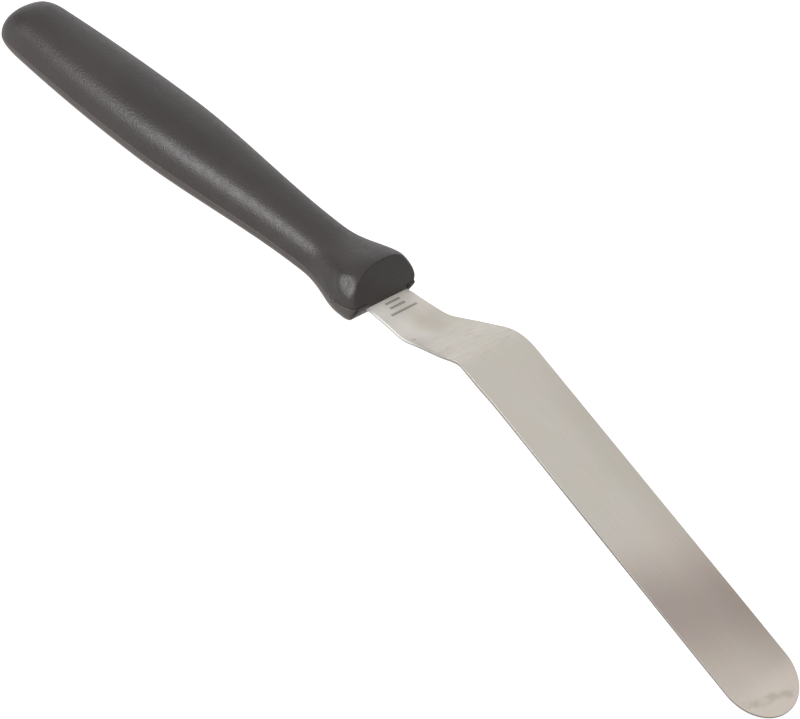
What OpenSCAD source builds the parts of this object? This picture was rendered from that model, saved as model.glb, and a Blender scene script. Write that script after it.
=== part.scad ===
// Small offset spatula: one bent stainless strip with a rounded tip, held by
// its tang between the two halves of a moulded plastic handle.
// Units are millimetres.  The object rests as an arch, dome side up: the end
// of the handle and the tip of the blade touch the floor plane z = 0, +X runs
// from the handle to the blade, +Z is up.  The origin is at the middle of the
// footprint.

/* [Blade] */
// width of the blade near its rounded tip
blade_width = 19; // [16:0.5:24]
// width of the blade where it leaves the second bend
heel_width = 18.4; // [15:0.1:24]
// length of the flat blade, second bend to tip
blade_length = 93.7; // [70:0.1:130]
// thickness of the strip in the handle, the shank and the step
strip_thickness = 0.8; // [0.7:0.05:1.2]
// thickness left at the tip, the blade being thinned from the second bend on
tip_thickness = 0.5; // [0.4:0.05:0.7]
// width of the strip where it leaves the handle
shank_width = 12.2; // [10:0.1:13]
// length of the strip between the handle and the first bend
shank_length = 11; // [8:0.5:16]
// length of the raised step between the two bends
step_length = 18.3; // [15:0.1:24]
// rise of the shank against the handle
shank_angle = 1.4; // [0.5:0.1:4]
// rise of the step against the handle
step_angle = 21.3; // [12:0.1:26]
// fall of the blade against the handle
blade_angle = 19.1; // [12:0.1:26]
// radius of the bend between shank and step
bend_radius = 10; // [6:0.5:14]
// radius of the bend between step and blade
heel_bend_radius = 13; // [8:0.5:15]

/* [Tang] */
// width of the tang inside the handle
tang_width = 7.6; // [6:0.1:8]
// how far the tang reaches into the handle
tang_length = 72; // [68:1:84]
// length of the full width part behind the face of the handle
tang_shoulder = 5; // [4:0.5:6]
// diameter of the two holes in the tang
tang_hole = 4; // [3.8:0.1:4.2]
// gap between tang and handle, each side
tang_gap = 0.1; // [0.05:0.05:0.2]

/* [Handle] */
// length of the handle
handle_length = 118.6; // [105:0.1:130]
// width of the flat front face
face_width = 17.6; // [16:0.1:18]
// height of the front face above the blade
face_height = 9.1; // [8.5:0.1:10]
// lean of the front face
face_lean = 19; // [0:1:22]
// width of the flare just behind the front face
flare_width = 19.4; // [18.5:0.1:20]
// width of the waist
waist_width = 13; // [12.5:0.1:15]
// height of the waist above the seam
waist_height = 7; // [6.5:0.1:8]
// width of the belly
belly_width = 18.7; // [16:0.1:20]
// height of the belly above the seam
belly_height = 9.2; // [8.5:0.1:12]
// length of the rounded butt
butt_length = 9.3; // [7:0.1:11]
// shift of the handle sideways against the blade
side_shift = 0.9; // [0:0.1:1.2]

/* [Pegs] */
// diameter of the two pegs that lock the tang
peg_diameter = 3.6; // [3.2:0.1:3.7]
// distance from the front face to the first peg
peg_first = 30; // [28:1:36]
// distance from the front face to the second peg
peg_second = 60; // [50:1:62]
// how deep the pegs reach below the seam
peg_depth = 2.4; // [2.2:0.1:2.6]

/* [Hidden] */

steel = [0.78, 0.76, 0.73];
plastic = [0.16, 0.155, 0.155];

// where along the handle the shape changes, from the front face backwards
flare_at = 2.8;
waist_from = 18.7;
waist_to = 21.7;
belly_at = 68.5;
// how quickly the width falls off from the belly to the butt, per mm squared
butt_taper = 0.00208;
// the same for the height
butt_drop = 0.0003;
// depth below the seam, as a base and a share of the width
under_base = 1.3;
under_share = 0.174;
// the front of the lower half is shallower, squarer and rounded backwards
under_front = 0.05;
under_front_power = 4.3;
under_front_fade = 1.8;
under_lean = 34;
lean_bias = 0.6;
// the seam curves up towards the front face, so the lower half has a raised lip
seam_rise = 1.2;
rise_fade = 4.5;
// exponents of the rounded section above and below the seam
dome_power = 2.4;
under_power = 2.7;
// steps around each half section: odd, so that the handle rests on a flat strip
around = 35;
// stations along the handle and along its rounded butt
along = 52;
along_butt = 14;
// the last ring of the butt stops this short of the point where it closes
butt_gap = 0.01;
// steps round each hole, peg and socket
round_steps = 48;
// length of the cuts for the holes and sockets, past both faces of the strip
cut_length = 6;
// how far the pegs and the tongue reach up into the upper half
peg_root = 1;

function ease(u) = u * u * (3 - 2 * u);
function blend(a, b, u) = a + (b - a) * ease(min(max(u, 0), 1));
function sgn_pow(v, p) = sign(v) * pow(abs(v), p);

// ---- side view of the strip: a chain of straights and round bends ----

// corner points of the upper face of the strip, in the handle's own frame
function polar(r, a) = [r * cos(a), r * sin(a)];
first_bend = polar(shank_length, shank_angle);
second_bend = first_bend + polar(step_length, step_angle);
tip_end = second_bend + polar(blade_length, -blade_angle);
corners = [[-tang_length, 0], [0, 0], first_bend, second_bend, tip_end];
bends = [bend_radius, bend_radius, heel_bend_radius];
bend_steps = 12;

function heading(k) = atan2(corners[k + 1].y - corners[k].y,
                            corners[k + 1].x - corners[k].x);

// points on the upper face through bend k, shifted down the normal by d
function bend_points(k, d) =
    let (from = heading(k - 1))
    let (to = heading(k))
    let (turn = to - from)
    let (reach = bends[k - 1] * tan(abs(turn) / 2))
    let (start = corners[k] - polar(reach, from))
    let (hub = start + sign(turn) * bends[k - 1] * [-sin(from), cos(from)])
    [for (i = [0 : bend_steps])
        let (a = from + turn * i / bend_steps)
        hub + (sign(turn) * bends[k - 1] + d) * [sin(a), -cos(a)]];

tip_share = tip_thickness / strip_thickness;

function strip_side(d) = concat(
    [corners[0] - [0, d]],
    bend_points(1, d),
    bend_points(2, d),
    bend_points(3, d),
    [corners[4] - d * tip_share * [sin(blade_angle), cos(blade_angle)]]);

function reversed(list) = [for (i = [len(list) - 1 : -1 : 0]) list[i]];

// the bent sheet, wider than any blade
module side_sheet() {
    rotate([90, 0, 0])
        linear_extrude(height = 2 * blade_width, center = true)
            polygon(concat(strip_side(0), reversed(strip_side(strip_thickness))));
}

// ---- outline of the strip, looking square onto the blade ----

flare_steps = 16;
flare_length = shank_length + step_length;
// the strip starts to widen slowly: the ease is taken over a bent length
flare_bias = 1.2;

// distance along the blade's own axis of a point given in the side view
function along_blade(p) = (p - second_bend) * [cos(blade_angle), -sin(blade_angle)];

function path_point(s) = s < shank_length
    ? polar(s, shank_angle)
    : first_bend + polar(s - shank_length, step_angle);

function half_strip(s) =
    blend(shank_width, heel_width, pow(s / flare_length, flare_bias)) / 2;

// the blade has its full width for this long before the round tip begins
tip_straight = 12;
tip_radius = blade_width / 2;
tip_steps = 16;
// short flat at the very end of the round tip, on which the blade rests
tip_flat = 1;
// depth of the outline's cut: more than the strip bends away from the blade
outline_depth = 120;
edge_points = concat(
    [[along_blade([-tang_length, 0]), tang_width / 2]],
    [[along_blade([-tang_shoulder, 0]), tang_width / 2]],
    [[along_blade([-tang_shoulder, 0]), shank_width / 2]],
    [for (i = [0 : flare_steps])
        let (s = flare_length * i / flare_steps)
        [along_blade(path_point(s)), half_strip(s)]],
    [[blade_length - tip_radius - tip_straight, tip_radius]],
    [for (i = [tip_steps : -1 : 1])
        [blade_length - tip_radius, 0] + polar(tip_radius, 90 * i / tip_steps)],
    [[blade_length, tip_flat / 2]]);

module outline() {
    polygon(concat(edge_points, reversed([for (p = edge_points) [p.x, -p.y]])));
}

module at_blade_plane() {
    translate([second_bend.x, 0, second_bend.y])
        rotate([0, blade_angle, 0])
            children();
}

// ---- the handle, as sections along its length ----

function half_width(s) =
    s < flare_at ? blend(face_width, flare_width, s / flare_at) / 2
    : s < waist_to ? blend(flare_width, waist_width,
                           (s - flare_at) / (waist_from - flare_at)) / 2
    : s < belly_at ? blend(waist_width, belly_width,
                           (s - waist_to) / (belly_at - waist_to)) / 2
    : (belly_width - butt_taper * pow(s - belly_at, 2)) / 2;

waist_at = 15.9;
height_bias = 0.9;
function height(s) =
    s < waist_at ? blend(face_height, waist_height, s / waist_at)
    : s < belly_at ? blend(waist_height, belly_height,
                           pow((s - waist_at) / (belly_at - waist_at), height_bias))
    : belly_height - butt_drop * pow(s - belly_at, 2);

front_fade = 3;
function depth(s) = (under_base + under_share * 2 * half_width(s))
    * (1 - under_front * exp(-s / front_fade));

// the butt closes like a rounded box: squarer in plan than in side view
butt_start = handle_length - butt_length;
butt_plan_power = 4.4;
butt_side_power = 2.26;
function closing(s, p) =
    s < butt_start ? 1
    : pow(max(0, 1 - pow((s - butt_start) / butt_length, p)), 1 / p);

// stations: evenly spaced over an angle, so they gather near the front
stations = concat(
    [for (i = [0 : along - 1]) butt_start * (1 - cos(90 * i / along))],
    [for (i = [0 : along_butt - 1]) butt_start + butt_length * sin(90 * i / along_butt)],
    [handle_length - butt_gap]);

lean_fade = 8;
function section_power(s, side) = side > 0 ? dome_power
    : under_power + (under_front_power - under_power) * exp(-s / under_front_fade);

// how far a point of the front face sits behind the front, as a share of its height
function lean_share(side, share) = side > 0
    ? -tan(face_lean)
    : tan(under_lean) * pow(share, lean_bias);

function section(s, side) = [
    for (i = [0 : around])
        let (t = 180 * i / around)
        let (power = section_power(s, side))
        let (reach = side > 0 ? height(s) : depth(s))
        let (share = pow(abs(sin(t)), 2 / power))
        let (y = half_width(s) * closing(s, butt_plan_power) * sgn_pow(cos(t), 2 / power))
        let (z = side * reach * closing(s, butt_side_power) * share)
        let (rise = seam_rise * exp(-pow(s / rise_fade, 2)) * (1 - share))
        [-s + z * lean_share(side, share) * exp(-s / lean_fade), y - side_shift, z + rise]];

module half_body(side) {
    rows = len(stations);
    cols = around + 1;
    points = [for (s = stations) for (p = section(s, side)) p];
    skin = [for (r = [0 : rows - 2]) for (c = [0 : cols - 2])
        [r * cols + c, r * cols + c + 1, (r + 1) * cols + c + 1, (r + 1) * cols + c]];
    seam = [for (r = [0 : rows - 2])
        [r * cols + cols - 1, r * cols, (r + 1) * cols, (r + 1) * cols + cols - 1]];
    front = [[for (c = [cols - 1 : -1 : 0]) c]];
    back = [[for (c = [0 : cols - 1]) (rows - 1) * cols + c]];
    faces = concat(skin, seam, front, back);
    polyhedron(points, side > 0 ? faces : [for (f = faces) reversed(f)]);
}

module at_pegs() {
    for (x = [peg_first, peg_second])
        translate([-x, 0, 0])
            children();
}

// room for the tang, cut into the lower half from the seam down
module tang_room() {
    room = strip_thickness + tang_gap;
    translate([-tang_length - tang_gap, -tang_width / 2 - tang_gap, -room])
        cube([tang_length, tang_width + 2 * tang_gap, 2 * room]);
    translate([-tang_shoulder - tang_gap, -shank_width / 2 - tang_gap, -room])
        cube([tang_shoulder * 2, shank_width + 2 * tang_gap, 2 * room + seam_rise]);
}

// tongue of the upper half that reaches down between the lips onto the strip
module tongue() {
    top = seam_rise + peg_root;
    rotate([90, 0, 0])
        linear_extrude(height = shank_width, center = true)
            polygon([[-tang_shoulder, 0], [0, 0],
                     [-top * tan(face_lean), top], [-tang_shoulder, top]]);
}

// ---- resting pose ----

// lowest points of the handle and the lower corner of the blade's tip
rest_share = pow(cos(90 / around), 2 / under_power);
underside = [for (s = stations) [-s, -depth(s) * rest_share * closing(s, butt_side_power)]];
tip_low = tip_end - tip_thickness * [sin(blade_angle), cos(blade_angle)];
rest_angle = min([for (p = underside) atan2(p.y - tip_low.y, tip_low.x - p.x)]);

function rested(p) = [p.x * cos(rest_angle) - p.y * sin(rest_angle),
                      p.x * sin(rest_angle) + p.y * cos(rest_angle)];
back_end = min([for (s = stations) for (p = section(s, 1)) rested([p.x, p.z]).x]);
front_end = rested(tip_end).x;
left_edge = side_shift + flare_width / 2;
right_edge = max(blade_width / 2, flare_width / 2 - side_shift);
middle = [(back_end + front_end) / 2, (right_edge - left_edge) / 2, rested(tip_low).y];

module resting() {
    translate(-middle)
        rotate([0, -rest_angle, 0])
            children();
}

// ---- the sub-parts ----

module blade() {
    color(steel)
        resting()
            difference() {
                intersection() {
                    side_sheet();
                    at_blade_plane()
                        linear_extrude(height = outline_depth, center = true)
                            outline();
                }
                at_pegs()
                    cylinder(d = tang_hole, h = cut_length, center = true, $fn = round_steps);
            }
}

module handle_upper() {
    color(plastic)
        resting()
            union() {
                half_body(1);
                tongue();
                at_pegs()
                    translate([0, 0, -peg_depth])
                        cylinder(d = peg_diameter, h = peg_depth + peg_root, $fn = round_steps);
            }
}

module handle_lower() {
    color(plastic)
        resting()
            difference() {
                half_body(-1);
                tang_room();
                at_pegs()
                    translate([0, 0, -peg_depth - tang_gap])
                        cylinder(d = peg_diameter + tang_gap, h = cut_length, $fn = round_steps);
            }
}

blade();
handle_upper();
handle_lower();
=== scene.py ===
import math

import bmesh
import bpy
import numpy as np
from mathutils import Matrix, Vector


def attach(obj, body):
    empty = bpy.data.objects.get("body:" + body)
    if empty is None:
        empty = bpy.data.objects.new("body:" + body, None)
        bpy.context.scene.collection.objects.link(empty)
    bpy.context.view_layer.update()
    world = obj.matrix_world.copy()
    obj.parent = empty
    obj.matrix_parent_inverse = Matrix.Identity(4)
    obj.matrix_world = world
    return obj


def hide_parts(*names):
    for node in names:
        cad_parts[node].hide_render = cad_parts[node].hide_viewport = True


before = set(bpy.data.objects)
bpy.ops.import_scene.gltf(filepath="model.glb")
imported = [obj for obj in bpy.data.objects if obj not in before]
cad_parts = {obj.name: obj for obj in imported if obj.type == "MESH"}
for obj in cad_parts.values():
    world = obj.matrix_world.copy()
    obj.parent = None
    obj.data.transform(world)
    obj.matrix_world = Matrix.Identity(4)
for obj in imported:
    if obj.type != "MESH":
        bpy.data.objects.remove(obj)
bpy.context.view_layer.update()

MM = 0.001

# ---------------------------------------------------------------- sizes, mm
# The shape of the CAD part in the handle's own frame: the origin is where the strip
# leaves the handle, +X points to the blade and +Z is up.  The seam of the handle lies
# in the plane z = 0 and curves up close to the front face.

# the strip: lengths between the corners of its path, angles and bends
SHANK, STEP, BLADE = 11.0, 18.3, 93.7
SHANK_ANGLE, STEP_ANGLE, BLADE_ANGLE = (math.radians(a) for a in (1.4, 21.3, -19.1))
BEND_1, BEND_2 = 10.0, 13.0
THICK, TIP_THICK = 0.8, 0.5
SHANK_WIDTH, HEEL_WIDTH, BLADE_WIDTH = 12.2, 18.4, 19.0
TIP_STRAIGHT, TIP_FLAT = 12.0, 1.0
EDGE_RADIUS = 0.16

# the tang, its holes and the pegs and sockets of the handle, as radii
TANG, TANG_WIDTH, TANG_SHOULDER, SHOULDER_RUN = 72.0, 7.6, 5.0, 1.0
GAP = 0.1
PEGS = (30.0, 60.0)
HOLE, PEG, SOCKET = 2.0, 1.8, 1.85
PEG_DEPTH, SOCKET_DEPTH, ROOT = 2.4, 2.5, 1.0

# the handle
HANDLE, BUTT = 118.6, 9.3
FACE_WIDTH, FLARE_WIDTH, WAIST_WIDTH, BELLY_WIDTH = 17.6, 19.4, 13.0, 18.7
FACE_HEIGHT, WAIST_HEIGHT, BELLY_HEIGHT = 9.1, 7.0, 9.2
FLARE_AT, WAIST_FROM, WAIST_TO, BELLY_AT = 2.8, 18.7, 21.7, 68.5
WAIST_AT = WAIST_FROM - FLARE_AT
BUTT_TAPER, BUTT_DROP = 0.00208, 0.0003
UNDER_BASE, UNDER_SHARE, UNDER_FRONT, FRONT_FADE = 1.3, 0.174, 0.05, 3.0
DOME_POWER, UNDER_POWER, UNDER_FRONT_POWER, UNDER_FRONT_FADE = 2.4, 2.7, 4.3, 1.8
BUTT_PLAN_POWER, BUTT_SIDE_POWER = 4.4, 2.26
UNDER_LEAN, LEAN_BIAS, LEAN_FADE = math.tan(math.radians(34.0)), 0.6, 8.0
SIDE_SHIFT, SEAM_RISE, RISE_FADE = 0.9, 1.2, 4.5
FLARE_BIAS, HEIGHT_BIAS = 1.2, 0.9

# the resting pose: the part stands on its butt and its tip, and the middle of its
# footprint is the origin
REST_ANGLE = math.radians(5.11468)
REST_MIDDLE = np.array([0.0285113, -0.55, -13.7409])

# What follows is only here, not in the CAD.  The face of the upper half is set back
# behind the lip and a little steeper, the handle is wider on each side, and the seam
# and the face have rounded edges.
FACE_BACK, FACE_LEAN = 0.44, math.tan(math.radians(16.5))
EXTRA_WIDTH, FLARE_POWER = 0.08, 2.6
SEAM_EDGE, FACE_EDGE = 0.14, 0.3

# bumps and dips in the outline of the strip, each as (place, reach, how far out)
NEAR_HEEL = ((5.0, 4.0, 0.33), (-0.9, 2.0, -0.5))     # places past the second bend
NEAR_SHANK = ((10.0, 4.5, 0.28), (0.0, 1.2, -0.25))   # places past the front face
FAR_SHANK, FAR_START, FAR_END, FAR_FADE = 0.2, 1.5, 22.0, 5.0

# the far side of the flare: the same, by height above the seam, and its lower corner
FAR_FLARE = ((2.6, 1.3, 0.22), (6.1, 1.8, -0.44))
CORNER, CORNER_HEIGHT, CORNER_SOFT = 0.8, 2.2, 2.8
FLARE_REACH, FLARE_SIDE = 5.0, 7.5

# the near side of the flare: places are (behind the face, above the seam)
KNOB_AT, KNOB_REACH, KNOB_POWER = (3.8, 5.4), (3.5, 1.85), 1.15
KNOB_Y, KNOB_TILT = -8.438, 0.56
SWELL, SWELL_AT, SWELL_REACH, SWELL_TOP, SWELL_SOFT = 0.22, 6.5, 3.5, 3.0, 2.0
SINK, SINK_AT, SINK_REACH = 0.3, (7.6, 3.3), 1.6
MARK, MARK_AT, MARK_RADIUS, MARK_LINE = 0.16, (6.2, 0.2), 0.9375, 0.35


def ease(u):
    u = np.clip(u, 0.0, 1.0)
    return u * u * (3 - 2 * u)


def bump(offset, reach):
    """1 at no offset, fading smoothly over the reach."""
    return np.exp(-(offset / reach) ** 2)


def bumps(x, table):
    """Sum of the bumps of a table of (place, reach, how far out)."""
    return sum(out * bump(x - place, reach) for place, reach, out in table)


# ---------------------------------------------------------------- path of the strip
def along(at, heading, curve, length):
    """Point and heading after a straight (curve 0) or a round bend."""
    if curve == 0:
        return at + length * np.array([math.cos(heading), math.sin(heading)]), heading
    end = heading + curve * length
    return at + np.array([math.sin(end) - math.sin(heading),
                          math.cos(heading) - math.cos(end)]) / curve, end


def strip_path():
    """Pieces of the strip's upper line: (length, start point, heading, curvature)."""
    turn_1, turn_2 = STEP_ANGLE - SHANK_ANGLE, STEP_ANGLE - BLADE_ANGLE
    reach_0 = BEND_1 * math.tan(SHANK_ANGLE / 2)
    reach_1 = BEND_1 * math.tan(turn_1 / 2)
    reach_2 = BEND_2 * math.tan(turn_2 / 2)
    plan = [(TANG - reach_0, 0.0), (BEND_1 * SHANK_ANGLE, 1 / BEND_1),
            (SHANK - reach_0 - reach_1, 0.0), (BEND_1 * turn_1, 1 / BEND_1),
            (STEP - reach_1 - reach_2, 0.0), (BEND_2 * turn_2, -1 / BEND_2),
            (BLADE - reach_2, 0.0)]
    pieces, at, heading = [], np.array([-TANG, 0.0]), 0.0
    for length, curve in plan:
        pieces.append((length, at, heading, curve))
        at, heading = along(at, heading, curve, length)
    return pieces


PATH = strip_path()
PATH_LENGTH = sum(piece[0] for piece in PATH)


def path_at(u):
    """Point and heading of the upper line at the distance u from the tang's rear end."""
    for length, at, heading, curve in PATH:
        if u <= length:
            break
        u -= length
    else:
        u += length
    return along(at, heading, curve, u)


def polar(length, angle):
    return length * np.array([math.cos(angle), math.sin(angle)])


FIRST_BEND = polar(SHANK, SHANK_ANGLE)
SECOND_BEND = FIRST_BEND + polar(STEP, STEP_ANGLE)


def along_blade(point):
    """Distance of a point past the second bend's corner, measured along the blade."""
    return float((point - SECOND_BEND) @ polar(1.0, BLADE_ANGLE))


# ---------------------------------------------------------------- resting pose
def resting(points):
    """Points in the handle's frame (mm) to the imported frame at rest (m)."""
    p = np.asarray(points, float)
    c, s = math.cos(REST_ANGLE), math.sin(REST_ANGLE)
    x = p[..., 0] * c - p[..., 2] * s
    z = p[..., 0] * s + p[..., 2] * c
    return (np.stack([x, p[..., 1], z], -1) - REST_MIDDLE) * MM


# ---------------------------------------------------------------- mesh tools
def mesh_object(name, verts, faces, uvs=None):
    """A closed mesh with merged points and outward normals."""
    mesh = bpy.data.meshes.new(name)
    mesh.from_pydata([tuple(v) for v in verts], [], [tuple(f) for f in faces])
    if uvs is not None:
        layer = mesh.uv_layers.new(name="UVMap")
        for loop in mesh.loops:
            layer.data[loop.index].uv = uvs[loop.vertex_index]
    obj = bpy.data.objects.new(name, mesh)
    bpy.context.collection.objects.link(obj)
    bm = bmesh.new()
    bm.from_mesh(mesh)
    bmesh.ops.remove_doubles(bm, verts=bm.verts, dist=1e-7)
    bmesh.ops.dissolve_degenerate(bm, edges=bm.edges, dist=1e-8)
    bmesh.ops.recalc_face_normals(bm, faces=bm.faces)
    bm.to_mesh(mesh)
    bm.free()
    return obj


def prism_tool(name, outline, low, high, axis):
    """A closed prism between low and high on the axis, its outline given in the other two."""
    n = len(outline)
    corners = [np.insert(point, axis, level) for level in (low, high) for point in outline]
    faces = [(i, (i + 1) % n, n + (i + 1) % n, n + i) for i in range(n)]
    faces += [tuple(range(n - 1, -1, -1)), tuple(range(n, 2 * n))]
    return mesh_object(name, resting(corners), faces)


def cylinder_tool(name, x, radius, low, high, segments=64):
    """A closed upright cylinder on the middle line of the tang."""
    turns = np.linspace(0, 2 * np.pi, segments, endpoint=False)
    circle = np.stack([x + radius * np.cos(turns), radius * np.sin(turns)], 1)
    return prism_tool(name, circle, low, high, 2)


def carve(obj, tool, operation="DIFFERENCE"):
    mod = obj.modifiers.new("carve", "BOOLEAN")
    mod.operation, mod.object, mod.solver = operation, tool, "EXACT"
    depsgraph = bpy.context.evaluated_depsgraph_get()
    done = bpy.data.meshes.new_from_object(obj.evaluated_get(depsgraph))
    obj.modifiers.clear()
    obj.data = done
    bpy.data.objects.remove(tool)


def sharpen(obj, degrees):
    """Smooth shading, with the edges steeper than the angle left sharp."""
    obj.data.shade_smooth()
    bm = bmesh.new()
    bm.from_mesh(obj.data)
    limit = math.radians(degrees)
    for edge in bm.edges:
        edge.smooth = len(edge.link_faces) == 2 and edge.calc_face_angle() < limit
    bm.to_mesh(obj.data)
    bm.free()


# ---------------------------------------------------------------- the strip
TIP_CENTRE = BLADE - BLADE_WIDTH / 2


def outline_tables(steps=24):
    """Half width against the distance along the blade, as in the CAD outline."""
    total = SHANK + STEP
    places, halves = [], []
    for i in range(steps + 1):
        s = total * i / steps
        if s < SHANK:
            point = polar(s, SHANK_ANGLE)
        else:
            point = FIRST_BEND + polar(s - SHANK, STEP_ANGLE)
        widening = float(ease((s / total) ** FLARE_BIAS))
        places.append(along_blade(point))
        halves.append((SHANK_WIDTH + (HEEL_WIDTH - SHANK_WIDTH) * widening) / 2)
    return places + [TIP_CENTRE - TIP_STRAIGHT], halves + [BLADE_WIDTH / 2]


OUTLINE = outline_tables()


def half_strip(u):
    """Half width of the strip at the distance u from the tang's rear end."""
    shoulder = TANG - TANG_SHOULDER
    if u < shoulder:
        widened = max(0.0, u - shoulder + SHOULDER_RUN) / SHOULDER_RUN
        return (TANG_WIDTH + (SHANK_WIDTH - TANG_WIDTH) * widened) / 2
    x = along_blade(path_at(u)[0])
    if x > TIP_CENTRE:
        radius = BLADE_WIDTH / 2
        return max(TIP_FLAT / 2, math.sqrt(max(0.0, radius ** 2 - (x - TIP_CENTRE) ** 2)))
    return float(np.interp(x, *OUTLINE))


def near_extra(u):
    """Near side: a sharper corner behind a slight dip at the second bend, a fuller shank
    and a corner that stays clear of the lip of the handle."""
    return bumps(along_blade(path_at(u)[0]), NEAR_HEEL) + bumps(u - TANG, NEAR_SHANK)


def far_extra(u):
    """Far side: the shank is a little fuller from the lip to the second bend."""
    x = u - TANG
    return FAR_SHANK * ease(x / FAR_START) * ease((FAR_END - x) / FAR_FADE)


def thickness(u):
    """Even up to the second bend, then thinning to the tip."""
    share = max(0.0, along_blade(path_at(u)[0])) / BLADE
    return THICK + (TIP_THICK - THICK) * min(1.0, share)


def strip_stations(hidden=2.0, fine=0.35, coarse=0.8, tip_steps=43):
    """Places along the strip: widest apart inside the handle, closest in the bends and
    round the tip."""
    shoulder = TANG - TANG_SHOULDER
    bends_end = TANG + SHANK + STEP + 6.0
    radius = BLADE_WIDTH / 2
    tip_start = PATH_LENGTH - radius
    quarter = np.linspace(0, math.pi / 2, tip_steps + 1)[:-1]
    return np.concatenate([np.arange(0.0, shoulder - SHOULDER_RUN, hidden),
                           [shoulder - SHOULDER_RUN],
                           np.arange(shoulder, bends_end, fine),
                           np.arange(bends_end + 0.5, tip_start, coarse),
                           tip_start + radius * np.sin(quarter)])


def strip_boundary(stations, shares):
    """Outline of the flattened strip as (point, outward normal): near side, tip, far
    side, then the rear end of the tang at the given shares of its width."""
    chain = np.array([(u, half_strip(u)) for u in stations] + [(PATH_LENGTH, 0.0)])
    tangent = np.gradient(chain, axis=0)
    tangent[-1] = (0.0, -1.0)
    tangent /= np.linalg.norm(tangent, axis=1)[:, None]
    normal = np.stack([-tangent[:, 1], tangent[:, 0]], 1)
    normal *= np.sign(normal[:, 1:2] + 1e-9)
    normal[0] = (-math.sqrt(0.5), math.sqrt(0.5))
    sides = list(zip(chain[:-1], normal[:-1]))
    near = [((u, -half - near_extra(u)), (out_u, -out_v)) for (u, half), (out_u, out_v) in sides]
    far = [((u, half + far_extra(u)), tuple(out)) for (u, half), out in reversed(sides)]
    rear = [((0.0, -share * chain[0, 1]), (-1.0, 0.0)) for share in shares]
    return near + [((PATH_LENGTH, 0.0), (1.0, 0.0))] + far + rear


def rim_profile(thick):
    """Rounded edge from the upper to the lower face, as (offset outwards, depth)."""
    arc = np.linspace(0, math.pi / 2, 5)
    upper = [(EDGE_RADIUS * (math.sin(a) - 1), EDGE_RADIUS * (1 - math.cos(a))) for a in arc]
    return upper + [(out, thick - depth) for out, depth in reversed(upper)]


def build_blade(across=40):
    """The strip: a rim with rounded edges, filled in by an upper and a lower grid."""
    shares = np.linspace(-1, 1, across + 1)[1:-1]
    stations = strip_stations()
    count = len(stations)
    flat, faces = [], []          # points of the flattened strip: along, across, depth

    def add(u, v, depth):
        flat.append((u, v, depth))
        return len(flat) - 1

    rims = []
    for (u, v), (out_u, out_v) in strip_boundary(stations, shares):
        rims.append([add(u + out * out_u, v + out * out_v, depth)
                     for out, depth in rim_profile(thickness(u))])
    for a, b in zip(rims, rims[1:] + rims[:1]):
        faces += [(a[k], b[k], b[k + 1], a[k + 1]) for k in range(len(a) - 1)]

    for column, upper in ((0, True), (-1, False)):
        near = [rims[i][column] for i in range(count)]
        tip = rims[count][column]
        far = [rims[2 * count - i][column] for i in range(count)]
        rear = [rim[column] for rim in rims[2 * count + 1:]]
        rows = [[near[0]] + rear[::-1] + [far[0]]]
        for i in range(1, count):
            a, b = np.array(flat[near[i]]), np.array(flat[far[i]])
            row = []
            for u, v, _ in (a + (b - a) * (share + 1) / 2 for share in shares):
                row.append(add(u, v, 0.0 if upper else thickness(u)))
            rows.append([near[i]] + row + [far[i]])
        for row, after in zip(rows, rows[1:]):
            faces += [(row[j], after[j], after[j + 1], row[j + 1]) for j in range(across)]
        faces += [(rows[-1][j], tip, rows[-1][j + 1]) for j in range(across)]

    verts, uvs = [], []
    for u, v, depth in flat:
        at, heading = path_at(u)
        verts.append((at[0] + depth * math.sin(heading), v, at[1] - depth * math.cos(heading)))
        uvs.append(((u - TANG) / 100, v / 100))
    obj = mesh_object("blade_strip", resting(verts), faces, uvs)
    for x in PEGS:
        carve(obj, cylinder_tool("hole", -x, HOLE, -THICK - ROOT, ROOT))
    sharpen(obj, 40)
    return obj


# ---------------------------------------------------------------- the handle
def half_width(s):
    """Half width at the distance s behind the front face, without the extra width."""
    front = np.clip(1 - s / FLARE_AT, 0, 1) ** FLARE_POWER
    flare = FLARE_WIDTH - (FLARE_WIDTH - FACE_WIDTH) * front
    to_waist = ease((s - FLARE_AT) / (WAIST_FROM - FLARE_AT))
    waist = FLARE_WIDTH + (WAIST_WIDTH - FLARE_WIDTH) * to_waist
    to_belly = ease((s - WAIST_TO) / (BELLY_AT - WAIST_TO))
    belly = WAIST_WIDTH + (BELLY_WIDTH - WAIST_WIDTH) * to_belly
    rear = BELLY_WIDTH - BUTT_TAPER * (s - BELLY_AT) ** 2
    return np.select([s < FLARE_AT, s < WAIST_TO, s < BELLY_AT], [flare, waist, belly], rear) / 2


def height(s):
    """Height above the seam."""
    front = FACE_HEIGHT + (WAIST_HEIGHT - FACE_HEIGHT) * ease(s / WAIST_AT)
    rise = ease(np.clip((s - WAIST_AT) / (BELLY_AT - WAIST_AT), 0, 1) ** HEIGHT_BIAS)
    belly = WAIST_HEIGHT + (BELLY_HEIGHT - WAIST_HEIGHT) * rise
    rear = BELLY_HEIGHT - BUTT_DROP * (s - BELLY_AT) ** 2
    return np.select([s < WAIST_AT, s < BELLY_AT], [front, belly], rear)


def depth(s):
    """Depth below the seam."""
    front = 1 - UNDER_FRONT * np.exp(-s / FRONT_FADE)
    return (UNDER_BASE + UNDER_SHARE * 2 * half_width(s)) * front


def closing(s, power):
    """Share of the section left at s: 1 up to the butt, then rounding off to 0."""
    q = np.clip((s - HANDLE + BUTT) / BUTT, 0, 1)
    return np.maximum(0.0, 1 - q ** power) ** (1 / power)


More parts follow.
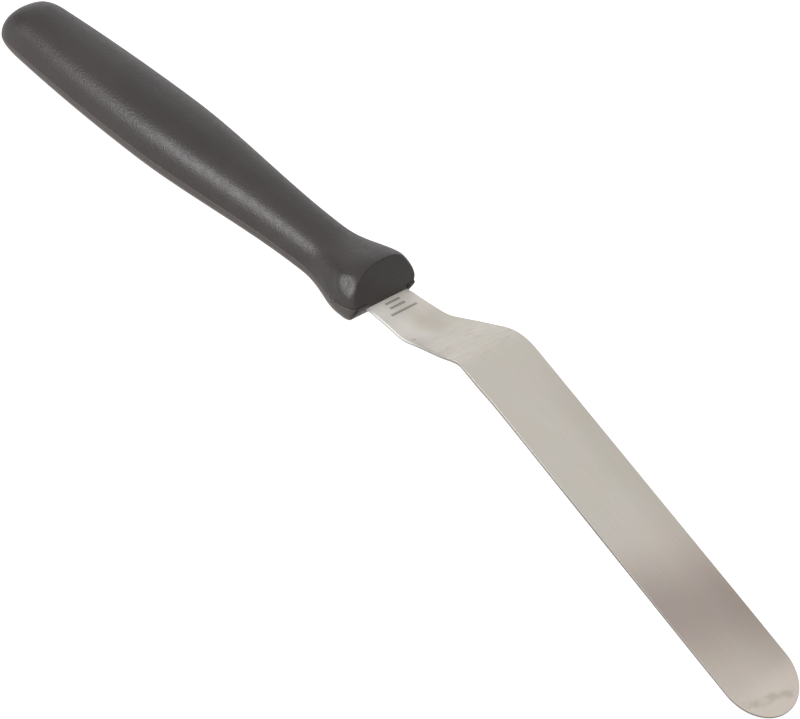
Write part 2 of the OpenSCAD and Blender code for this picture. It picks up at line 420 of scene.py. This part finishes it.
def handle_stations(flare_end=26.0, front_steps=10, flare_steps=89, body_steps=119,
                    butt_steps=45):
    """Places along the handle: close round the front edge, the flare and the butt."""
    start = HANDLE - BUTT
    edge = np.linspace(0, np.pi / 2, front_steps + 1)
    butt = np.linspace(0, np.pi / 2, butt_steps + 1)[1:-1]
    return np.concatenate([FACE_EDGE * (1 - np.cos(edge)),
                           np.linspace(FACE_EDGE + 0.12, flare_end, flare_steps + 1),
                           np.linspace(flare_end + 0.6, start, body_steps + 1),
                           start + BUTT * np.sin(butt) ** (2 / 3.3)])


def flare_details(s, y, z):
    """Sideways place of the skin with the small irregular shapes of the flare, for points
    at s behind the face and z above the seam."""
    # far side: fuller, flatter at the shoulder and rounded off at the lower corner
    corner = CORNER * ease((CORNER_HEIGHT - z) / CORNER_SOFT)
    y = y + bump(s, FLARE_REACH) * ease(y / FLARE_SIDE) * (bumps(z, FAR_FLARE) - corner)
    near = y < 0
    # a low knob with a flat, tilted top
    distance = ((s - KNOB_AT[0]) / KNOB_REACH[0]) ** 2 + ((z - KNOB_AT[1]) / KNOB_REACH[1]) ** 2
    knob = np.exp(-distance ** KNOB_POWER) * near
    y = y * (1 - knob) + (KNOB_Y + KNOB_TILT * (z - KNOB_AT[1])) * knob
    # a slight swell low down, and a shallow sink behind the knob
    swell = bump(s - SWELL_AT, SWELL_REACH) * ease((SWELL_TOP - z) / SWELL_SOFT)
    sink = bump(np.hypot(s - SINK_AT[0], z - SINK_AT[1]), SINK_REACH)
    # the ring of a small round moulding mark on the seam
    mark = bump(np.hypot(s - MARK_AT[0], z - MARK_AT[1]) - MARK_RADIUS, MARK_LINE)
    return y + (SINK * sink - SWELL * swell - MARK * mark) * near


def half_skin(side, around):
    """Rings of one half of the handle, one row for each station, from seam to seam."""
    s = handle_stations()[:, None]
    t = np.pi * (1 - np.cos(np.pi * np.arange(around + 1) / around)) / 2
    ct, st = np.cos(t)[None], np.maximum(np.sin(t), 0.0)[None]
    st[0, 0] = st[0, -1] = 0.0
    if side > 0:
        power, reach = np.full_like(s, DOME_POWER), height(s)
    else:
        squarer = (UNDER_FRONT_POWER - UNDER_POWER) * np.exp(-s / UNDER_FRONT_FADE)
        power, reach = UNDER_POWER + squarer, depth(s)
    w = (half_width(s) + EXTRA_WIDTH) * closing(s, BUTT_PLAN_POWER)
    h = reach * closing(s, BUTT_SIDE_POWER)
    share = st ** (2 / power)
    y = w * np.sign(ct) * np.abs(ct) ** (2 / power)
    z = h * share
    # round the edge of the front face: pull the section in along its normal
    ny = np.sign(y) * (np.abs(y) / w) ** (power - 1) / w
    nz = (z / h) ** (power - 1) / h
    size = np.sqrt(ny ** 2 + nz ** 2)
    back = np.clip(FACE_EDGE - s, 0, FACE_EDGE)
    pull = FACE_EDGE - np.sqrt(FACE_EDGE ** 2 - back ** 2)
    y = y - pull * ny / size
    z = z - pull * nz / size
    # round the edge along the seam
    room = np.clip(SEAM_EDGE - z, 0, SEAM_EDGE)
    y = np.sign(y) * np.maximum(0, np.abs(y) - SEAM_EDGE + np.sqrt(SEAM_EDGE ** 2 - room ** 2))
    # lean the front back, and curve the seam up towards it
    if side > 0:
        lean = FACE_BACK + FACE_LEAN * z
    else:
        lean = UNDER_LEAN * share ** LEAN_BIAS * z
    x = -s - lean * np.exp(-s / LEAN_FADE)
    z = side * z + SEAM_RISE * bump(s, RISE_FADE) * (1 - share)
    y = flare_details(s, y, z)
    return np.stack([x, y - SIDE_SHIFT, z], -1)


def handle_half(name, side, around=150):
    """One half of the handle as a closed skin.  side is +1 above the seam, -1 below."""
    skin = half_skin(side, around)
    # rings that fill the flat front face, round a point near its middle
    hub = 0.45 * skin[0, around // 2] + 0.275 * (skin[0, 0] + skin[0, -1])
    shares = np.array((0.15, 0.3, 0.45, 0.6, 0.7, 0.8, 0.87, 0.93, 0.97))
    rows = np.concatenate([hub + (skin[:1] - hub) * shares[:, None, None], skin])
    cols = around + 1
    verts = list(rows.reshape(-1, 3)) + [hub, np.array([-HANDLE, -SIDE_SHIFT, 0.0])]
    centre, end = len(verts) - 2, len(verts) - 1
    last = (len(rows) - 1) * cols
    faces = []
    for c in range(cols):
        after = (c + 1) % cols
        faces += [(r + c, r + after, r + after + cols, r + c + cols) for r in range(0, last, cols)]
        faces += [(after, c, centre), (last + c, last + after, end)]
    return mesh_object(name, resting(np.array(verts)), faces)


def build_handle_upper():
    """Domed half, with a tongue that fills the slot above the strip, and two pegs."""
    obj = handle_half("handle_dome", +1)
    top = SEAM_RISE + ROOT
    tongue = [(-TANG_SHOULDER, 0), (-FACE_BACK, 0), (-FACE_BACK - top * FACE_LEAN, top),
              (-TANG_SHOULDER, top)]
    carve(obj, prism_tool("tongue", tongue, -SHANK_WIDTH / 2, SHANK_WIDTH / 2, 1), "UNION")
    for x in PEGS:
        carve(obj, cylinder_tool("peg", -x, PEG, -PEG_DEPTH, ROOT), "UNION")
    sharpen(obj, 35)
    return obj


def build_handle_lower():
    """Shallow half, with a T-shaped room for the tang, open at the front, and two sockets."""
    obj = handle_half("handle_base", -1)
    narrow, wide = TANG_WIDTH / 2 + GAP, SHANK_WIDTH / 2 + GAP
    rear, shoulder, mouth = -TANG - GAP, -TANG_SHOULDER - 2 * GAP, 3.0    # past the front
    plan = [(rear, -narrow), (shoulder, -narrow), (shoulder, -wide), (mouth, -wide),
            (mouth, wide), (shoulder, wide), (shoulder, narrow), (rear, narrow)]
    carve(obj, prism_tool("tang_room", plan, -THICK - GAP, SEAM_RISE + ROOT, 2))
    for x in PEGS:
        carve(obj, cylinder_tool("socket", -x, SOCKET, -SOCKET_DEPTH, ROOT))
    sharpen(obj, 35)
    return obj


# ---------------------------------------------------------------- materials
# the colours are linear red, green and blue
DOME_DARK, DOME_LIGHT = (0.033, 0.0272, 0.0278), (0.04, 0.033, 0.033)
BASE_DARK, BASE_LIGHT = (0.062, 0.053, 0.048), (0.073, 0.062, 0.056)
# the front colour on the next line is painted shade, for surfaces that face forwards
DUST, PAINTED_FRONT_SHADE, PLASTIC_SHEEN = (0.2, 0.19, 0.18), (0.012, 0.009, 0.008), (1.0, 0.9, 0.82)

STEEL_WARM, STEEL_ROSY = (0.65, 0.617, 0.543), (0.667, 0.613, 0.561)
STEEL_CLOUD, STEEL_STREAK = (0.64, 0.622, 0.585), (0.5, 0.47, 0.42)
# on the next line, the shank colour is painted light and the tip colour is a painted reflection
FAR_SIDE, PAINTED_SHANK_LIGHT, PAINTED_TIP_REFLECTION = (0.45, 0.40, 0.34), (0.95, 0.92, 0.87), (0.80, 0.72, 0.645)
RIPPLE_DARK, RIPPLE_PALE = (0.44, 0.42, 0.40), (0.82, 0.80, 0.77)
ZONE_TINT, LOWER_TINT = (0.70, 0.67, 0.675), (0.985, 0.945, 0.94)
WARM_MARK, SMUDGE = (0.60, 0.51, 0.43), (0.36, 0.31, 0.24)
PIT, ETCHING = (0.2, 0.18, 0.18), (0.16, 0.13, 0.12)
# the three edge tones on the next line are painted light and shade of the strip's narrow edges
SHANK_EDGE, STEP_EDGE, BLADE_EDGE = (0.75, 0.74, 0.72), (0.48, 0.455, 0.42), (0.34, 0.32, 0.30)


def opaque(colour):
    return (*colour, 1.0)


class Graph:
    """Small helper to lay out shader nodes."""

    def __init__(self, tree):
        self.nodes, self.links = tree.nodes, tree.links

    def add(self, kind, inputs=(), **props):
        n = self.nodes.new(kind)
        for key, value in props.items():
            setattr(n, key, value)
        for key, value in dict(inputs).items():
            self.put(n.inputs[key], value)
        return n

    def put(self, socket, value):
        """Link an output to the socket, or set its plain value."""
        if hasattr(value, "is_linked"):
            self.links.new(value, socket)
        else:
            socket.default_value = value

    def math(self, operation, a, b=0.0, clamp=False):
        n = self.add("ShaderNodeMath", {0: a, 1: b}, operation=operation)
        n.use_clamp = clamp
        return n.outputs[0]

    def noise(self, vector, scale, detail=2.0, rough=0.5, distortion=0.0):
        return self.add("ShaderNodeTexNoise", {"Vector": vector, "Scale": scale, "Detail": detail,
                        "Roughness": rough, "Distortion": distortion}).outputs["Fac"]

    def remap(self, value, low, high, to_low=0.0, to_high=1.0, smooth=True):
        return self.add("ShaderNodeMapRange", {"Value": value, "From Min": low, "From Max": high,
                        "To Min": to_low, "To Max": to_high},
                        interpolation_type="SMOOTHSTEP" if smooth else "LINEAR").outputs[0]

    def mix(self, factor, a, b, blend="MIX"):
        """Mix of two colours, given as outputs or as (red, green, blue)."""
        n = self.add("ShaderNodeMix", data_type="RGBA", blend_type=blend)
        self.put(n.inputs["Factor"], factor)
        for socket, colour in ((6, a), (7, b)):
            self.put(n.inputs[socket], opaque(colour) if isinstance(colour, tuple) else colour)
        return n.outputs[2]

    def tinted(self, factor, tone, tint):
        """The tone, multiplied by the tint where the factor is 1."""
        return self.mix(factor, tone, self.mix(1.0, tone, tint, "MULTIPLY"))

    def band(self, value, low, high, soft):
        """1 between low and high, falling to 0 over the soft length outside them."""
        up = self.remap(value, low - soft, low)
        down = self.remap(value, high + soft, high)
        return self.math("MULTIPLY", up, down)

    def distance_squared(self, place, centre, reach):
        """Squared distance of an (along, across) place from the centre, in reaches."""
        total = 0.0
        for value, middle, unit in zip(place, centre, reach):
            part = self.math("DIVIDE", self.math("SUBTRACT", value, middle), unit)
            total = self.math("ADD", total, self.math("MULTIPLY", part, part))
        return total

    def stretch(self, vector, scale, location=(0, 0, 0)):
        return self.add("ShaderNodeMapping", {"Vector": vector, "Scale": scale,
                        "Location": location}).outputs[0]

    def component(self, vector, index):
        return self.add("ShaderNodeSeparateXYZ", {0: vector}).outputs[index]


def new_material(name):
    mat = bpy.data.materials.new(name)
    mat.use_nodes = True
    g = Graph(mat.node_tree)
    g.nodes.clear()
    bsdf = g.add("ShaderNodeBsdfPrincipled")
    out = g.add("ShaderNodeOutputMaterial")
    g.links.new(bsdf.outputs[0], out.inputs[0])
    return mat, g, bsdf


def add_bump(g, bsdf, strength, distance, height_map):
    node = g.add("ShaderNodeBump", {"Strength": strength, "Distance": distance,
                                    "Height": height_map})
    g.put(bsdf.inputs["Normal"], node.outputs[0])


def dust(g, where):
    """A few small pale specks, in about one of twelve cells of the pattern."""
    cells = g.add("ShaderNodeTexVoronoi", {"Vector": where, "Scale": 130.0})
    chance = g.add("ShaderNodeSeparateColor", {0: cells.outputs["Color"]}).outputs[0]
    near = g.remap(cells.outputs["Distance"], 0.05, 0.02)
    return g.math("MULTIPLY", near, g.remap(chance, 0.90, 0.94))


def plastic_material(name, dark, light, sheen=0.0, painted_front_shade=0.0):
    """Satin moulded plastic: fine grain and cloudy tone, with painted shade where it faces
    forwards.
    """
    mat, g, bsdf = new_material(name)
    where = g.add("ShaderNodeTexCoord").outputs["Object"]
    tone = g.mix(g.remap(g.noise(where, 60.0, 3.0, 0.55), 0.35, 0.65), dark, light)
    tone = g.mix(g.math("MULTIPLY", dust(g, where), 0.6), tone, DUST)
    # painted shade: where the surface faces forwards, the tone goes towards near black and its
    # shine and sheen are turned down
    facing = g.component(g.add("ShaderNodeNewGeometry").outputs["True Normal"], 0)
    shade = g.math("MULTIPLY", g.remap(facing, 0.35, 0.8), painted_front_shade)
    g.put(bsdf.inputs["Base Color"], g.mix(shade, tone, PAINTED_FRONT_SHADE))
    g.put(bsdf.inputs["Specular IOR Level"], g.remap(shade, 0.0, 1.0, 0.5, 0.0, False))
    g.put(bsdf.inputs["Sheen Weight"], g.remap(shade, 0.0, 1.0, sheen, 0.0, False))
    g.put(bsdf.inputs["Sheen Roughness"], 0.3)
    g.put(bsdf.inputs["Sheen Tint"], opaque(PLASTIC_SHEEN))
    g.put(bsdf.inputs["Roughness"], g.remap(g.noise(where, 800.0, 3.0, 0.6), 0.3, 0.7, 0.28, 0.4))
    g.put(bsdf.inputs["IOR"], 1.49)
    grain, wave = g.noise(where, 2200.0), g.noise(where, 240.0)
    skin = g.math("ADD", g.math("MULTIPLY", grain, 0.7), g.math("MULTIPLY", wave, 0.3))
    add_bump(g, bsdf, 0.4, 0.00025, skin)
    return mat


def steel_base(g, uv, place, cloud, streaks):
    """Cloudy warm grey with fine streaks, darker along the far side of the blade."""
    along_mm, across_mm = place
    tint = g.noise(g.stretch(uv, (9.0, 20.0, 1.0), (1.7, 0.6, 0)), 1.0)
    tone = g.mix(g.remap(tint, 0.35, 0.65), STEEL_WARM, STEEL_ROSY)
    tone = g.mix(g.remap(cloud, 0.3, 0.7, 0.0, 0.5), tone, STEEL_CLOUD)
    tone = g.mix(g.remap(streaks, 0.35, 0.75, 0.0, 0.16), tone, STEEL_STREAK)
    far = g.math("MULTIPLY", g.remap(across_mm, 0.0, 8.0), g.remap(along_mm, 30.0, 48.0))
    return g.mix(g.math("MULTIPLY", far, 0.24), tone, FAR_SIDE)


def rippled(g, tone, bent, ripple):
    """Fine cross ripples left by the second bend, dark and pale."""
    dark = g.math("MULTIPLY", bent, g.remap(ripple, 0.5, 0.7, 0.0, 0.24))
    pale = g.math("MULTIPLY", bent, g.remap(ripple, 0.48, 0.3, 0.0, 0.24))
    return g.mix(pale, g.mix(dark, tone, RIPPLE_DARK), RIPPLE_PALE)


def shaded_blade(g, tone, place):
    """A slanted darker zone two thirds of the way down, warmer metal from there on and a painted
    reflection that brightens the tip."""
    along_mm, across_mm = place
    start, dark_from, dark_to, end, slant = 77.0, 95.5, 97.0, 117.0, 0.32
    slanted = g.math("SUBTRACT", along_mm, g.math("MULTIPLY", across_mm, slant))
    zone = g.math("MULTIPLY", g.remap(slanted, start, dark_from), g.remap(slanted, end, dark_to))
    tone = g.tinted(zone, tone, ZONE_TINT)
    tone = g.tinted(g.remap(along_mm, 68.0, 92.0), tone, LOWER_TINT)
    # painted reflection: the tip is lightened towards a warm pale tone
    return g.mix(g.remap(along_mm, 112.0, 118.0, 0.0, 0.5), tone, PAINTED_TIP_REFLECTION)


def warm_mark(g, tone, place, cloud):
    """Handling mark between the etched bars and the first bend."""
    centre, reach = (10.5, 0.8), (5.0, 4.0)
    distance = g.distance_squared(place, centre, reach)
    warm = g.math("MULTIPLY", g.remap(distance, 1.2, 0.0), g.remap(cloud, 0.3, 0.7, 0.4, 1.0))
    return g.mix(g.math("MULTIPLY", warm, 0.5), tone, WARM_MARK)


def smudge(g, tone, uv, place, cloud):
    """Blotchy smudge across the tip."""
    along_mm, across_mm = place
    slant, waviness = 0.22, 3.0
    wavy = g.math("MULTIPLY", g.math("SUBTRACT", cloud, 0.5), waviness)
    slanted = g.math("SUBTRACT", along_mm, g.math("MULTIPLY", across_mm, slant))
    smear = g.band(g.math("ADD", slanted, wavy), 118.6, 119.4, 0.9)
    smear = g.math("MULTIPLY", smear, g.band(across_mm, -7.0, 3.0, 2.5))
    blotch = g.remap(g.noise(g.stretch(uv, (45.0, 45.0, 1.0)), 1.0), 0.4, 0.6, 0.1, 0.36)
    return g.mix(g.math("MULTIPLY", smear, blotch), tone, SMUDGE)


def pit(g, tone, place):
    """A small pit at the near side of the first bend."""
    centre, reach = (13.2, -6.1), (1.0, 1.0)
    distance = g.distance_squared(place, centre, reach)
    return g.mix(g.remap(distance, 0.45, 0.05, 0.0, 0.8), tone, PIT)


def etched_bars(g, place):
    """Three plain dashed bars by the handle: 1 on a dash, 0 elsewhere."""
    along_mm, across_mm = place
    half_line, pitch = 0.25, 0.3
    bars = 0.0
    for at, low, high in ((0.85, -1.9, 2.4), (2.4, -2.0, 2.3), (4.2, -3.4, 4.0)):
        bar = g.math("MULTIPLY", g.band(along_mm, at - half_line, at + half_line, 0.12),
                     g.band(across_mm, low, high, 0.1))
        bars = g.math("MAXIMUM", bars, bar)
    dashes = g.remap(g.math("PINGPONG", across_mm, pitch), 0.03, 0.1)
    return g.math("MULTIPLY", dashes, bars)


def steel_material():
    """Brushed stainless strip.  The UV map is (mm along the strip, mm across) / 100."""
    mat, g, bsdf = new_material("brushed_stainless")
    uv = g.add("ShaderNodeUVMap").outputs[0]
    place = [g.math("MULTIPLY", g.component(uv, index), 100.0) for index in (0, 1)]
    along_mm, across_mm = place
    streaks = g.noise(g.stretch(uv, (9.0, 330.0, 1.0)), 1.0, 4.0, 0.6)
    broad = g.noise(g.stretch(uv, (2.6, 40.0, 1.0)), 1.0, 3.0)
    cloud = g.noise(g.stretch(uv, (7.0, 16.0, 1.0), (0.3, 0.1, 0)), 1.0)
    ripple = g.noise(g.stretch(uv, (95.0, 13.0, 1.0)), 1.0, 2.0, 0.5, 1.3)
    bent = g.band(along_mm, 17.5, 27.0, 4.5)
    dash = etched_bars(g, place)

    tone = steel_base(g, uv, place, cloud, streaks)
    tone = warm_mark(g, tone, place, cloud)
    tone = rippled(g, tone, bent, ripple)
    tone = shaded_blade(g, tone, place)
    tone = smudge(g, tone, uv, place, cloud)
    tone = pit(g, tone, place)
    # painted light: the shank is lighter close to the handle and along its near side
    close = g.remap(along_mm, 9.0, 0.5)
    near = g.math("MULTIPLY", g.remap(across_mm, 1.5, -4.5), g.remap(along_mm, 17.0, 12.0))
    painted_shank_light = g.math("ADD", g.math("MULTIPLY", close, 0.5), g.math("MULTIPLY", near, 0.6),
                    clamp=True)
    tone = g.mix(painted_shank_light, tone, PAINTED_SHANK_LIGHT)
    tone = g.mix(g.math("MULTIPLY", dash, 0.75), tone, ETCHING)
    # the sheared edges are painted darker than the brushed faces, and more so along the blade;
    # these edge tones are painted light and shade
    upright = g.component(g.add("ShaderNodeNewGeometry").outputs["True Normal"], 2)
    edge = g.remap(g.math("ABSOLUTE", upright), 0.86, 0.6)
    edge_light_and_shade = g.mix(g.remap(along_mm, 9.0, 18.0), SHANK_EDGE, STEP_EDGE)
    edge_light_and_shade = g.mix(g.remap(along_mm, 45.0, 75.0), edge_light_and_shade, BLADE_EDGE)
    g.put(bsdf.inputs["Base Color"], g.mix(edge, tone, edge_light_and_shade))

    # brushed along the strip; more matt on the edges, at the first bend and by the handle
    rough = g.remap(streaks, 0.3, 0.7, 0.34, 0.42)
    for where, more in ((edge, 0.1), (g.band(along_mm, 9.5, 13.5, 3.0), 0.12), (close, 0.2)):
        rough = g.math("ADD", rough, g.math("MULTIPLY", where, more))
    g.put(bsdf.inputs["Roughness"], rough)
    g.put(bsdf.inputs["Metallic"], g.remap(along_mm, 5.0, 0.5, 0.88, 0.55))
    g.put(bsdf.inputs["Anisotropic"], 0.5)
    g.put(bsdf.inputs["Tangent"], g.add("ShaderNodeTangent", direction_type="UV_MAP").outputs[0])
    relief = g.math("ADD", g.math("MULTIPLY", streaks, 0.3), g.math("MULTIPLY", broad, 0.5))
    ripples = g.math("MULTIPLY", g.math("MULTIPLY", bent, ripple), 1.2)
    relief = g.math("SUBTRACT", g.math("ADD", relief, ripples), g.math("MULTIPLY", dash, 0.5))
    add_bump(g, bsdf, 0.12, 0.0002, relief)
    return mat


# ---------------------------------------------------------------- the three pieces
def stand_in(piece, node, material):
    """The piece takes the place and the movement of the CAD node, with a material of its own; the
    CAD node is hidden.
    """
    piece.data.materials.append(material)
    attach(piece, "root")
    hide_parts(node)


stand_in(build_blade(), "blade", steel_material())
stand_in(build_handle_upper(), "handle_upper",
         plastic_material("satin_black_plastic", DOME_DARK, DOME_LIGHT))
stand_in(build_handle_lower(), "handle_lower",
         plastic_material("satin_black_plastic_base", BASE_DARK, BASE_LIGHT,
                          sheen=0.45, painted_front_shade=0.75))


# ---------------------------------------------------------------- studio
def direction(azimuth, elevation):
    a, e = math.radians(azimuth), math.radians(elevation)
    return Vector((math.cos(e) * math.cos(a), math.cos(e) * math.sin(a), math.sin(e)))


def floor_material():
    """Pale to the camera, but darker in reflections, so that undersides stay dark."""
    mat, g, bsdf = new_material("pale_floor")
    g.put(bsdf.inputs["Base Color"], opaque((0.5, 0.5, 0.5)))
    g.put(bsdf.inputs["Roughness"], 0.9)
    g.put(bsdf.inputs["Specular IOR Level"], 0.0)
    g.put(bsdf.inputs["Emission Color"], opaque((1, 1, 1)))
    seen = g.add("ShaderNodeLightPath").outputs["Is Camera Ray"]
    g.put(bsdf.inputs["Emission Strength"], g.remap(seen, 0.0, 1.0, 0.25, 0.88))
    return mat


def add_floor(size=12):
    bpy.ops.mesh.primitive_plane_add(size=size, location=(0, 0, 0))
    floor = bpy.context.object
    floor.name = "floor"
    floor.data.materials.append(floor_material())


def add_softbox(name, azimuth, elevation, distance, width, tall, power, target=(0, 0, 0.02)):
    light = bpy.data.lights.new(name, "AREA")
    light.shape, light.size, light.size_y, light.energy = "RECTANGLE", width, tall, power
    obj = bpy.data.objects.new(name, light)
    bpy.context.collection.objects.link(obj)
    away = direction(azimuth, elevation)
    obj.location = Vector(target) + away * distance
    obj.rotation_euler = away.to_track_quat("Z", "Y").to_euler()


def studio_world(level, patches):
    """Even white surroundings with soft brighter and darker patches, each given as
    (azimuth, elevation, radius in degrees, change of level)."""
    world = bpy.data.worlds.new("studio")
    bpy.context.scene.world = world
    world.use_nodes = True
    g = Graph(world.node_tree)
    where = g.add("ShaderNodeTexCoord").outputs["Generated"]
    total = level
    for azimuth, elevation, radius, change in patches:
        dot = g.add("ShaderNodeVectorMath", {0: where, 1: direction(azimuth, elevation)},
                    operation="DOT_PRODUCT").outputs["Value"]
        patch = g.remap(dot, math.cos(math.radians(radius)), 1.0, 0.0, change)
        total = g.math("ADD", total, patch)
    background = g.nodes["Background"]
    background.inputs[0].default_value = opaque((1, 0.995, 0.985))
    g.put(background.inputs[1], total)


def add_camera(target, azimuth, elevation, roll, distance, lens):
    """Camera looking at the target (m), turned by the roll (degrees) about its own axis."""
    data = bpy.data.cameras.new("camera")
    data.sensor_width, data.lens = 36.0, lens
    camera = bpy.data.objects.new("camera", data)
    bpy.context.collection.objects.link(camera)
    back = direction(azimuth, elevation)
    level = Vector((0, 0, 1)).cross(back).normalized()
    turn = math.radians(roll)
    right = level * math.cos(turn) + back.cross(level) * math.sin(turn)
    axes = Matrix((right, back.cross(right), back)).transposed().to_4x4()
    camera.matrix_world = Matrix.Translation(Vector(target) + back * distance) @ axes
    bpy.context.scene.camera = camera


add_floor()
add_softbox("side_box", azimuth=-108, elevation=15, distance=0.9, width=0.78, tall=0.48, power=6.1)
studio_world(0.86, [(30, 0, 60, -0.45), (165, 55, 50, -0.12), (133, 6, 30, 0.16),
                    (-155, 0, 42, -0.6)])
add_camera((0.005664, 0.003202, -0.00036), azimuth=-57.7137, elevation=41.4745, roll=18.7948,
           distance=0.614668, lens=131.031)
bpy.context.scene.view_settings.view_transform = "Standard"
